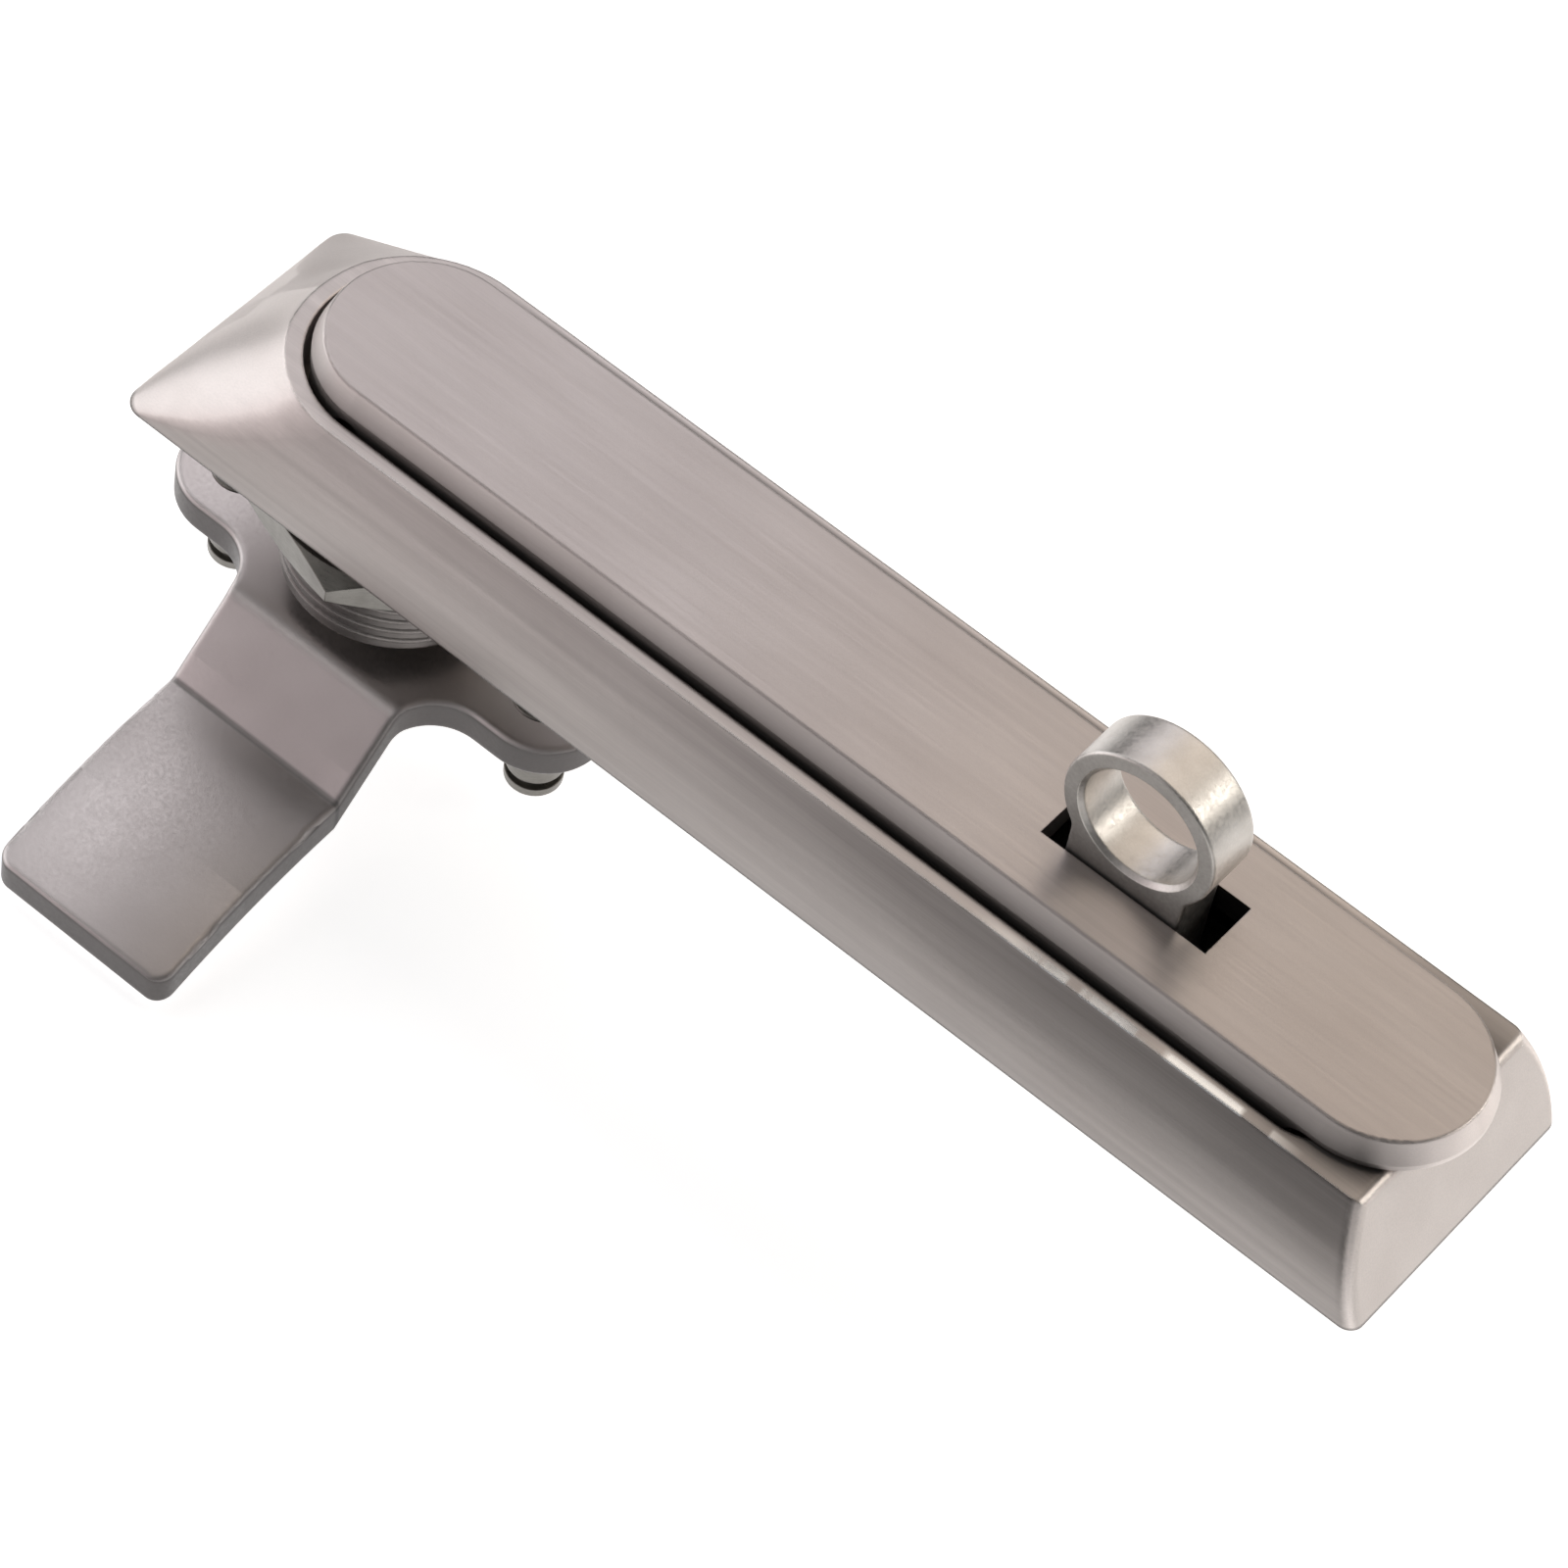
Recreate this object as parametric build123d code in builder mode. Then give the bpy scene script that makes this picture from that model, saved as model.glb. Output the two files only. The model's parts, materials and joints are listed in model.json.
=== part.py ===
import os
from math import atan, cos, degrees, radians, sin, sqrt, tan

from build123d import *

# Swing-handle latch for a cabinet door: a dished base carries a handle that lifts on a pivot pin,
# a padlock eye stands up through the handle, and a spindle through the base's threaded neck turns
# a cam with two pins for locking rods.
# Frame: origin on the spindle axis at the base's seat on the door, +X towards the handle's free end,
# +Z out of the door. All lengths are in millimetres.

# Base
base_hinge_end = 24.0         # spindle axis to the base's hinge end
base_free_end = 131.0         # spindle axis to the base's free end, at the seat
base_width = 33.4
base_height = 13.2            # seat to rim
base_mid_inset = 0.6          # how far the side walls have come in halfway up
base_mid_end_inset = 4.6      # the same at the hinge end
base_end_lean = 5.0           # how far the free-end face leans back over its height
base_corner = 2.5             # plan radius of the hinge-end corners at the seat
base_mid_corner = 12.0        # the same halfway up
base_edge = 1.5               # rounding of the free-end face's side and top edges
rim_half_width = 13.2
rim_end_shift = 0.4           # centre of the rim's round end, behind the spindle axis
rim_corner_turn = 65.0        # part of the rim's round end that each seat corner blends into
rim_tip_flat = 0.2            # how far the rim's tip falls short of a true half circle
pocket_half_width = 11.65
pocket_end = 121.0
pocket_corner = 6.0
floor_thickness = 2.5
neck_radius = 12.0            # major radius of the M24 neck
neck_length = 18.7
neck_chamfer = 1.0
fixing_x = 124.2              # second fixing, tapped into the end wall
fixing_radius = 2.0
fixing_depth = 6.0

# Handle
handle_top = 16.8
handle_top_half_width = 9.86
handle_half_width = 10.9
handle_bevel_drop = 2.6       # height of the bevel round the top face
handle_edge = 0.4             # rounding between the top face and the bevel
handle_tip = 128.8            # free end of the top face
plate_thickness = 3.2
skirt_wall = 2.2
skirt_end = 115.0
skirt_clearance = 2.0         # skirts above the pocket floor
skirt_step_radius = 3.0
hinge_lift = 1.4              # underside of the hinge-end plate above the pivot axis
ear_radius = 7.6
slot_start = 80.2
slot_end = 99.8
slot_width = 7.1

# Pivot
pivot_height = 11.2
pivot_radius = 1.75
pivot_length = 19.6
pivot_chamfer = 0.3
pivot_clearance = 0.05
lug_width = 10.0
lug_radius = 3.0
lug_clearance = 0.3           # on each side of the lug, and over it

# Spindle
spindle_radius = 8.0
spindle_clearance = 0.05
flange_radius = 10.4
flange_thickness = 1.6
flange_clearance = 0.2
drive_across_flats = 10.0
drive_corner = 1.0
drive_clearance = 0.05
drive_gap = 0.4               # square end stops this far above the cam's lower face
o_ring_section = 0.75         # radius of the ring's cord
o_ring_depth = 9.0            # below the seat
o_ring_gap = 0.04

# Padlock eye
eye_x = 89.5
eye_height = 25.85
eye_outer_radius = 8.7
eye_bore_radius = 6.5
eye_chamfer = 0.5
eye_edge = 0.4                # rounding of the ring's outer edges
eye_width = 6.4
eye_neck_width = 13.4
eye_neck_blend = 2.0
foot_length = 26.0
foot_width = 13.0
foot_thickness = 3.5
foot_corner = 2.0
eye_screw_spacing = 18.0
eye_screw_radius = 1.5
eye_screw_head_radius = 2.9
eye_screw_head_angle = 90.0
eye_screw_clearance = 0.1
eye_screw_length = 5.2
eye_screw_drive = 1.0         # half the hexagon socket's width
eye_screw_drive_depth = 1.2

# Nut on the neck
nut_gap = 4.3                 # seat to nut, the door's thickness
nut_thickness = 4.0
nut_across_flats = 29.0
nut_turn = 13.0               # angle of a corner from -Y towards +X
nut_clearance = 0.05
nut_face_angle = 30.0         # slope of the turned-down corners

# Cam
cam_top = -22.0
cam_thickness = 4.2
cam_hub_radius = 12.2
cam_bar_half_width = 7.1
cam_pin_spacing = 41.4
cam_inner_blend = 6.0
cam_tongue_width = 23.0
cam_tongue_reach = 46.2
cam_bend_start = 12.0         # where the tongue leaves the hub's plane
cam_crease = 20.4             # foot of the joggle
cam_joggle = 8.2              # drop at the crease
cam_tip_drop = 14.0           # drop at the tongue's end
cam_tongue_sag = 1.0          # crown of the tongue above a straight line
cam_tongue_corner = 2.0
cam_bend_radius = 3.0
cam_edge = 0.6                # rounding along the plate's outline

# Rod pins
rod_pin_radius = 3.15
rod_pin_bottom = -35.5
rod_pin_spigot_radius = 2.5
rod_pin_clearance = 0.05
rod_pin_head_radius = 3.5
rod_pin_head_height = 0.5
rod_pin_groove_radius = 2.4
rod_pin_groove_width = 1.2
rod_pin_groove_rise = 1.4     # groove above the pin's end
rod_pin_chamfer = 0.4

# Cam fastening
flat_washer_radius = 9.0
flat_washer_thickness = 1.5
spring_washer_radius = 5.6
spring_washer_thickness = 1.6
spring_washer_gap = 1.2
spring_washer_split = 15.0    # direction of the split from +X
cam_screw_radius = 3.0
cam_screw_clearance = 0.05
cam_screw_length = 16.0
cam_screw_across_flats = 10.0
cam_screw_head_height = 4.0
cam_screw_chamfer = 0.5
washer_clearance = 0.3

# How near an edge or corner lies to the place where it is picked
pick_tolerance = 0.1

# Worked out from the sizes above
half_width = base_width / 2
lip_underside = handle_top - plate_thickness
bevel_z = handle_top - handle_bevel_drop
bevel_angle = degrees(atan((handle_half_width - handle_top_half_width) / handle_bevel_drop))
handle_grow = handle_half_width - handle_top_half_width
cam_bottom = cam_top - cam_thickness
flange_bottom = floor_thickness - flange_thickness
neck_bottom = -neck_length
flat_washer_bottom = cam_bottom - flat_washer_thickness
spring_washer_bottom = flat_washer_bottom - spring_washer_thickness
screw_tip = spring_washer_bottom + cam_screw_length
hexagon = 2 / sqrt(3)         # corner to flat ratio of a hexagon

os.makedirs("parts", exist_ok=True)


def rounded_end_outline(end_x, half, corner, far_x):
    """Closed outline with two rounded corners at end_x and an open-ended run to far_x."""
    Line((far_x, -half), (end_x + corner, -half))
    RadiusArc((end_x + corner, -half), (end_x, -half + corner), corner)
    Line((end_x, -half + corner), (end_x, half - corner))
    RadiusArc((end_x, half - corner), (end_x + corner, half), corner)
    Line((end_x + corner, half), (far_x, half))
    Line((far_x, half), (far_x, -half))


def round_end_outline(centre_x, radius, far_x):
    """The same outline with a half-round end of three arcs, slightly flattened at the tip."""
    cut = radians(rim_corner_turn)
    near = (centre_x - radius * sin(cut), -radius * cos(cut))
    far = (centre_x - radius * sin(cut), radius * cos(cut))
    Line((far_x, -radius), (centre_x, -radius))
    RadiusArc((centre_x, -radius), near, radius)
    ThreePointArc(near, (centre_x - radius + rim_tip_flat, 0), far)
    RadiusArc(far, (centre_x, radius), radius)
    Line((centre_x, radius), (far_x, radius))
    Line((far_x, radius), (far_x, -radius))


# Base: swelling walls lofted from a square-cornered seat up to a round-ended rim
far_x = base_free_end + base_width
mid_half_width = half_width - base_mid_inset
mid_end = base_hinge_end - base_mid_end_inset
with BuildPart() as base:
    with BuildSketch(Plane.XY):
        with BuildLine():
            rounded_end_outline(-base_hinge_end, half_width, base_corner, far_x)
        make_face()
    with BuildSketch(Plane.XY.offset(base_height / 2)):
        with BuildLine():
            rounded_end_outline(-mid_end, mid_half_width, base_mid_corner, far_x)
        make_face()
    with BuildSketch(Plane.XY.offset(base_height)):
        with BuildLine():
            round_end_outline(-rim_end_shift, rim_half_width, far_x)
        make_face()
    loft()
    # The free-end face leans back
    with BuildSketch(Plane.XZ):
        with BuildLine():
            Polyline(
                (base_free_end + base_end_lean, -base_height),
                (base_free_end - 2 * base_end_lean, 2 * base_height),
                (far_x + base_width, 2 * base_height),
                (far_x + base_width, -base_height),
                close=True,
            )
        make_face()
    extrude(amount=base_width, both=True, mode=Mode.SUBTRACT)
    end_face = base.faces().sort_by(Axis.X)[-1]
    fillet(end_face.edges().sort_by(Axis.Z)[1:], base_edge)
    # Dished pocket for the handle, half-round at the hinge
    with BuildSketch(Plane.XY.offset(floor_thickness)) as pocket:
        Circle(pocket_half_width)
        Rectangle(pocket_end, 2 * pocket_half_width, align=(Align.MIN, Align.CENTER))
        fillet(pocket.vertices().group_by(Axis.X)[-1], pocket_corner)
    extrude(amount=base_height, mode=Mode.SUBTRACT)
    # Threaded neck under the hinge end
    with Locations((0, 0, neck_bottom)):
        Cylinder(neck_radius, neck_length, align=(Align.CENTER, Align.CENTER, Align.MIN))
    chamfer(base.edges().filter_by(GeomType.CIRCLE).sort_by(Axis.Z)[0], neck_chamfer)
    with Locations((0, 0, floor_thickness)):
        CounterBoreHole(
            spindle_radius + spindle_clearance,
            flange_radius + flange_clearance,
            flange_thickness,
        )
    # Countersunk holes for the padlock eye's screws, sunk from the seat
    with Locations(Plane.XY.rotated((180, 0, 0))):
        with Locations((eye_x - eye_screw_spacing / 2, 0), (eye_x + eye_screw_spacing / 2, 0)):
            CounterSinkHole(
                eye_screw_radius + eye_screw_clearance,
                eye_screw_head_radius + eye_screw_clearance,
                depth=2 * floor_thickness,
                counter_sink_angle=eye_screw_head_angle,
            )
        with Locations((fixing_x, 0)):
            Hole(fixing_radius, depth=fixing_depth)
base.part.label = "base"
export_step(base.part, "parts/base.step")

# Handle: a bevelled plate over a channel that opens downwards, with a thin lip at the free end
handle_length = handle_tip + handle_top_half_width + 2 * handle_grow
handle_mid = (handle_tip - handle_top_half_width) / 2
skirt_bottom = floor_thickness + skirt_clearance
ear_start = sqrt(ear_radius**2 - hinge_lift**2)
ear_side = ear_radius * sin(radians(45))
beyond = handle_tip + base_width
with BuildPart() as handle:
    with BuildSketch(Plane.XY.offset(bevel_z)):
        with Locations((handle_mid, 0)):
            SlotOverall(handle_length, 2 * handle_half_width)
    extrude(amount=handle_bevel_drop, taper=bevel_angle)
    fillet(handle.faces().sort_by(Axis.Z)[-1].edges(), handle_edge)
    extrude(handle.faces().sort_by(Axis.Z)[0], amount=bevel_z, dir=(0, 0, -1))
    # Underside: ears round the pivot, level skirts, then the lip
    with BuildSketch(Plane.XZ):
        with BuildLine():
            Line((-base_width, pivot_height + hinge_lift), (-ear_start, pivot_height + hinge_lift))
            ThreePointArc(
                (-ear_start, pivot_height + hinge_lift),
                (-ear_side, pivot_height - ear_side),
                (0, pivot_height - ear_radius),
            )
            FilletPolyline(
                (0, pivot_height - ear_radius),
                (skirt_end, skirt_bottom),
                (skirt_end, lip_underside),
                (beyond, lip_underside),
                radius=skirt_step_radius,
            )
            Line((beyond, lip_underside), (beyond, base_width))
            Line((beyond, base_width), (-base_width, base_width))
            Line((-base_width, base_width), (-base_width, pivot_height + hinge_lift))
        make_face()
    extrude(amount=base_width, both=True, mode=Mode.INTERSECT)
    # Channel between the skirts
    with BuildSketch(Plane.XY.offset(lip_underside)):
        channel_half = handle_half_width - skirt_wall
        with Locations(((ear_radius + skirt_end) / 2, 0)):
            SlotOverall(skirt_end - ear_radius - skirt_wall, 2 * channel_half)
    extrude(amount=-base_height, mode=Mode.SUBTRACT)
    # Room between the ears for the spindle's lug
    room_top = pivot_height + lug_radius + lug_clearance
    with BuildSketch(Plane.XY.offset(room_top)):
        with Locations((ear_radius / 2, 0)):
            Rectangle(3 * ear_radius, lug_width + 2 * lug_clearance)
    extrude(amount=-base_height, mode=Mode.SUBTRACT)
    # Slot for the padlock eye
    with BuildSketch(Plane.XY.offset(handle_top)):
        with Locations(((slot_start + slot_end) / 2, 0)):
            Rectangle(slot_end - slot_start, slot_width)
    extrude(amount=-2 * plate_thickness, mode=Mode.SUBTRACT)
    with BuildSketch(Plane.XZ):
        with Locations((0, pivot_height)):
            Circle(pivot_radius + pivot_clearance)
    extrude(amount=base_width, both=True, mode=Mode.SUBTRACT)
handle.part.label = "handle"
export_step(handle.part, "parts/handle.step")

# Spindle: flange in the pocket floor, lug for the pivot, square end for the cam
with BuildPart() as spindle:
    with Locations((0, 0, flange_bottom)):
        Cylinder(
            flange_radius,
            flange_thickness - spindle_clearance,
            align=(Align.CENTER, Align.CENTER, Align.MIN),
        )
        Cylinder(
            spindle_radius,
            flange_bottom - cam_top,
            align=(Align.CENTER, Align.CENTER, Align.MAX),
        )
    with BuildSketch(Plane.XY.offset(cam_top)):
        RectangleRounded(drive_across_flats, drive_across_flats, drive_corner)
    extrude(amount=drive_gap - cam_thickness)
    with BuildSketch(Plane.XZ):
        with BuildLine():
            Line((-lug_radius, pivot_height), (-lug_radius, flange_bottom))
            Line((-lug_radius, flange_bottom), (lug_radius, flange_bottom))
            Line((lug_radius, flange_bottom), (lug_radius, pivot_height))
            RadiusArc((lug_radius, pivot_height), (-lug_radius, pivot_height), -lug_radius)
        make_face()
    extrude(amount=lug_width / 2, both=True)
    with BuildSketch(Plane.XZ):
        with Locations((0, pivot_height)):
            Circle(pivot_radius)
    extrude(amount=lug_width, both=True, mode=Mode.SUBTRACT)
    with BuildSketch(Plane.XZ):
        with Locations((spindle_radius, -o_ring_depth)):
            Rectangle(4 * o_ring_section, 2 * (o_ring_section + o_ring_gap))
    revolve(axis=Axis.Z, mode=Mode.SUBTRACT)
    with Locations(Plane.XY.offset(cam_bottom + drive_gap).rotated((180, 0, 0))):
        Hole(
            cam_screw_radius + cam_screw_clearance,
            depth=screw_tip - cam_bottom + cam_screw_radius,
        )
spindle.part.label = "spindle"
export_step(spindle.part, "parts/spindle.step")

# O-ring in the spindle's groove
with BuildPart() as spindle_o_ring:
    with Locations((0, 0, -o_ring_depth)):
        Torus(spindle_radius - o_ring_section, o_ring_section)
spindle_o_ring.part.label = "spindle_o_ring"
export_step(spindle_o_ring.part, "parts/spindle_o_ring.step")

# Pivot pin through the ears and the lug
with BuildPart() as pivot_pin:
    with BuildSketch(Plane.XZ):
        with Locations((0, pivot_height)):
            Circle(pivot_radius)
    extrude(amount=pivot_length / 2, both=True)
    chamfer(pivot_pin.edges().filter_by(GeomType.CIRCLE), pivot_chamfer)
pivot_pin.part.label = "pivot_pin"
export_step(pivot_pin.part, "parts/pivot_pin.step")

# Padlock eye: a ring on a neck, with a foot on the pocket floor
neck_meets_ring = eye_height - sqrt(eye_outer_radius**2 - (eye_neck_width / 2) ** 2)
with BuildPart() as padlock_eye:
    with BuildSketch(Plane.XY.offset(floor_thickness)):
        with Locations((eye_x, 0)):
            RectangleRounded(foot_length, foot_width, foot_corner)
    extrude(amount=foot_thickness)
    with BuildSketch(Plane.XZ):
        with Locations((eye_x, eye_height)):
            Circle(eye_outer_radius)
        with Locations((eye_x, floor_thickness)):
            Rectangle(
                eye_neck_width,
                eye_height - floor_thickness,
                align=(Align.CENTER, Align.MIN),
            )
    extrude(amount=eye_width / 2, both=True)
    shoulder = padlock_eye.edges().filter_by(Axis.Y)
    shoulder = shoulder.filter_by_position(
        Axis.Z, neck_meets_ring - pick_tolerance, neck_meets_ring + pick_tolerance
    )
    fillet(shoulder, eye_neck_blend)
    round_edges = padlock_eye.edges().filter_by(GeomType.CIRCLE)
    fillet(round_edges.filter_by(lambda e: abs(e.radius - eye_outer_radius) < pick_tolerance), eye_edge)
    with BuildSketch(Plane.XZ):
        with Locations((eye_x, eye_height)):
            Circle(eye_bore_radius)
    extrude(amount=eye_width, both=True, mode=Mode.SUBTRACT)
    bore_edges = padlock_eye.edges().filter_by(GeomType.CIRCLE)
    bore_edges = bore_edges.filter_by(lambda e: abs(e.radius - eye_bore_radius) < pick_tolerance)
    chamfer(bore_edges, eye_chamfer)
    with Locations(Plane.XY.offset(floor_thickness).rotated((180, 0, 0))):
        with Locations((eye_x - eye_screw_spacing / 2, 0), (eye_x + eye_screw_spacing / 2, 0)):
            Hole(eye_screw_radius, depth=foot_thickness)
padlock_eye.part.label = "padlock_eye"
export_step(padlock_eye.part, "parts/padlock_eye.step")

# Two countersunk screws that hold the eye from behind
head_rise = (eye_screw_head_radius - eye_screw_radius) / tan(radians(eye_screw_head_angle / 2))
with BuildPart() as eye_screws:
    with BuildSketch(Plane.XZ):
        with BuildLine():
            Polyline(
                (0, 0),
                (eye_screw_head_radius, 0),
                (eye_screw_radius, head_rise),
                (eye_screw_radius, eye_screw_length),
                (0, eye_screw_length),
                close=True,
            )
        make_face()
    revolve(axis=Axis.Z)
    with BuildSketch(Plane.XY):
        RegularPolygon(eye_screw_drive * hexagon, 6)
    extrude(amount=eye_screw_drive_depth, mode=Mode.SUBTRACT)
    screw_body = eye_screws.part
screw_pair = [
    Pos(eye_x + side * eye_screw_spacing / 2, 0, 0) * screw_body for side in (-1, 1)
]
eye_screw_group = Compound(children=screw_pair)
eye_screw_group.label = "eye_screws"
export_step(eye_screw_group, "parts/eye_screws.step")

# Hexagon nut that clamps the door against the base
with BuildPart() as mounting_nut:
    with BuildSketch(Plane.XY.offset(-nut_gap)):
        RegularPolygon(nut_across_flats / 2 * hexagon, 6, rotation=nut_turn - 90)
        Circle(neck_radius + nut_clearance, mode=Mode.SUBTRACT)
    extrude(amount=-nut_thickness)
    # Corners turned down on both faces
    with BuildSketch(Plane.XZ):
        with BuildLine():
            corner = nut_across_flats / 2 * hexagon
            slope = (corner - nut_across_flats / 2) * tan(radians(nut_face_angle))
            Polyline(
                (0, -nut_gap),
                (nut_across_flats / 2, -nut_gap),
                (corner, -nut_gap - slope),
                (corner, -nut_gap - nut_thickness + slope),
                (nut_across_flats / 2, -nut_gap - nut_thickness),
                (0, -nut_gap - nut_thickness),
                close=True,
            )
        make_face()
    revolve(axis=Axis.Z, mode=Mode.INTERSECT)
mounting_nut.part.label = "mounting_nut"
export_step(mounting_nut.part, "parts/mounting_nut.step")

# Cam: flat hub and ears, and a tongue that drops in a joggle and runs on down to its end
pin_x = cam_pin_spacing / 2
crease = Vector(-cam_crease, cam_top - cam_joggle)
tip = Vector(-cam_tongue_reach, cam_top - cam_tip_drop)
crown = (crease + tip) / 2 + Vector(0, cam_tongue_sag)
below = Vector(0, -cam_thickness)
with BuildPart() as cam:
    # Side profile of the plate, carried across the whole width
    with BuildSketch(Plane.YZ) as profile:
        with BuildLine():
            Polyline((base_width, cam_top), (-cam_bend_start, cam_top), crease)
            ThreePointArc(crease, crown, tip)
            Line(tip, tip + below)
            ThreePointArc(tip + below, crown + below, crease + below)
            Polyline(
                crease + below,
                (-cam_bend_start, cam_bottom),
                (base_width, cam_bottom),
                (base_width, cam_top),
            )
        make_face()
        bends = profile.vertices().filter_by(lambda v: abs(v.X + cam_bend_start) < pick_tolerance)
        fillet(bends, cam_bend_radius)
    extrude(amount=cam_pin_spacing, both=True)
    # Plan outline
    with BuildSketch(Plane.XY.offset(cam_top)) as plan:
        SlotCenterToCenter(cam_pin_spacing, 2 * cam_bar_half_width)
        Rectangle(cam_tongue_width, cam_tongue_reach, align=(Align.CENTER, Align.MAX))
        with BuildLine():
            CenterArc((0, 0), cam_hub_radius, 0, 180)
            Line((-cam_hub_radius, 0), (cam_hub_radius, 0))
        make_face()
        inner = plan.vertices().filter_by(lambda v: abs(v.X) < cam_hub_radius)
        fillet(inner.filter_by(lambda v: abs(v.Y) < cam_hub_radius), cam_inner_blend)
        fillet(plan.vertices().group_by(Axis.Y)[0], cam_tongue_corner)
    extrude(amount=cam_tip_drop + cam_thickness, both=True, mode=Mode.INTERSECT)
    # Rounded along every edge but those through the thickness
    fillet(cam.edges().filter_by(Axis.Z, reverse=True), cam_edge)
    with BuildSketch(Plane.XY.offset(cam_top)):
        RectangleRounded(
            drive_across_flats + 2 * drive_clearance,
            drive_across_flats + 2 * drive_clearance,
            drive_corner,
        )
        with Locations((-pin_x, 0), (pin_x, 0)):
            Circle(rod_pin_spigot_radius + rod_pin_clearance)
    extrude(amount=-2 * cam_thickness, mode=Mode.SUBTRACT)
cam.part.label = "cam"
export_step(cam.part, "parts/cam.step")

# Rod pins: riveted into the cam's ears, with a groove for a retaining clip
groove_bottom = rod_pin_bottom + rod_pin_groove_rise
for side, name in ((-1, "rod_pin_hinge_side"), (1, "rod_pin_free_side")):
    with BuildPart() as rod_pin:
        with BuildSketch(Plane.XZ):
            with BuildLine():
                Polyline(
                    (0, rod_pin_bottom),
                    (rod_pin_radius - rod_pin_chamfer, rod_pin_bottom),
                    (rod_pin_radius, rod_pin_bottom + rod_pin_chamfer),
                    (rod_pin_radius, groove_bottom),
                    (rod_pin_groove_radius, groove_bottom),
                    (rod_pin_groove_radius, groove_bottom + rod_pin_groove_width),
                    (rod_pin_radius, groove_bottom + rod_pin_groove_width),
                    (rod_pin_radius, cam_bottom),
                    (rod_pin_spigot_radius, cam_bottom),
                    (rod_pin_spigot_radius, cam_top),
                    (rod_pin_head_radius, cam_top),
                    (rod_pin_spigot_radius, cam_top + rod_pin_head_height),
                    (0, cam_top + rod_pin_head_height),
                    close=True,
                )
            make_face()
        revolve(axis=Axis.Z)
    placed = Pos(side * pin_x, 0, 0) * rod_pin.part
    placed.label = name
    export_step(placed, f"parts/{name}.step")

# Flat washer under the cam
with BuildPart() as cam_flat_washer:
    with BuildSketch(Plane.XY.offset(cam_bottom)):
        Circle(flat_washer_radius)
        Circle(cam_screw_radius + washer_clearance, mode=Mode.SUBTRACT)
    extrude(amount=-flat_washer_thickness)
cam_flat_washer.part.label = "cam_flat_washer"
export_step(cam_flat_washer.part, "parts/cam_flat_washer.step")

# Split spring washer
with BuildPart() as cam_spring_washer:
    with BuildSketch(Plane.XY.offset(flat_washer_bottom)):
        Circle(spring_washer_radius)
        Circle(cam_screw_radius + washer_clearance, mode=Mode.SUBTRACT)
        Rectangle(
            2 * spring_washer_radius,
            spring_washer_gap,
            rotation=spring_washer_split,
            align=(Align.MIN, Align.CENTER),
            mode=Mode.SUBTRACT,
        )
    extrude(amount=-spring_washer_thickness)
cam_spring_washer.part.label = "cam_spring_washer"
export_step(cam_spring_washer.part, "parts/cam_spring_washer.step")

# Hexagon screw that holds the cam on the spindle
with BuildPart() as cam_screw:
    with BuildSketch(Plane.XY.offset(spring_washer_bottom)):
        RegularPolygon(cam_screw_across_flats / 2 * hexagon, 6)
    extrude(amount=-cam_screw_head_height)
    with Locations((0, 0, spring_washer_bottom)):
        Cylinder(cam_screw_radius, cam_screw_length, align=(Align.CENTER, Align.CENTER, Align.MIN))
    chamfer(cam_screw.edges().filter_by(GeomType.CIRCLE).sort_by(Axis.Z)[-1], cam_screw_chamfer)
cam_screw.part.label = "cam_screw"
export_step(cam_screw.part, "parts/cam_screw.step")
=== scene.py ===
import json
from math import cos, radians, sin

import bpy
import numpy as np
from mathutils import Matrix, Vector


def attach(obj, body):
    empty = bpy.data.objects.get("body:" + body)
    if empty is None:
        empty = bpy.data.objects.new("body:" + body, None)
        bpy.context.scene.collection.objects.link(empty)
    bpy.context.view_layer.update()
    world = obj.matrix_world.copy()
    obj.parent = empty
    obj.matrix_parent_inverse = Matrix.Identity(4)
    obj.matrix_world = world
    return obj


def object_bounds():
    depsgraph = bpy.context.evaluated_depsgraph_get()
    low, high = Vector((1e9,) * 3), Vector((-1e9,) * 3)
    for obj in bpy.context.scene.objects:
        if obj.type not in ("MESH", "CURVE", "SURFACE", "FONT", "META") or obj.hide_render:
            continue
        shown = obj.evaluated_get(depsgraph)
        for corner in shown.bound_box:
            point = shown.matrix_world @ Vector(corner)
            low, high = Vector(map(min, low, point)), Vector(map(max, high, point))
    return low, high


# Swing-handle latch in satin stainless steel: a lift-up handle in a dished base, with a fixed padlock eye.
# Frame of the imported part, in metres: spindle axis on Z, handle along +X, cam tongue along -Y.

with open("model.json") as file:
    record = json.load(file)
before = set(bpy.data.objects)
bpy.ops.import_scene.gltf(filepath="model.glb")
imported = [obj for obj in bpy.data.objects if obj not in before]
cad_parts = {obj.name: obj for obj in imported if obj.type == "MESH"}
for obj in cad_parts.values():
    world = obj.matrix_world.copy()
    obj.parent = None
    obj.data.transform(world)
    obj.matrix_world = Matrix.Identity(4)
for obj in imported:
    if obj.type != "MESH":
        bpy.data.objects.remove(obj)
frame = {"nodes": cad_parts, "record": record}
nodes = frame["nodes"]
cadLow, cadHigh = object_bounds()
print("frame loaded:", len(nodes), "nodes")


# node helpers

def feed(tree, socket, value):
    # value is another node's output, which is linked, or a constant
    if isinstance(value, bpy.types.NodeSocket):
        tree.links.new(value, socket)
    else:
        socket.default_value = value


def emptyTree(owner, outputKind):
    # the cleared node tree of a material or world, and the socket that its surface goes into
    owner.use_nodes = True
    tree = owner.node_tree
    tree.nodes.clear()
    return tree, tree.nodes.new(outputKind).inputs["Surface"]


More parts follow.
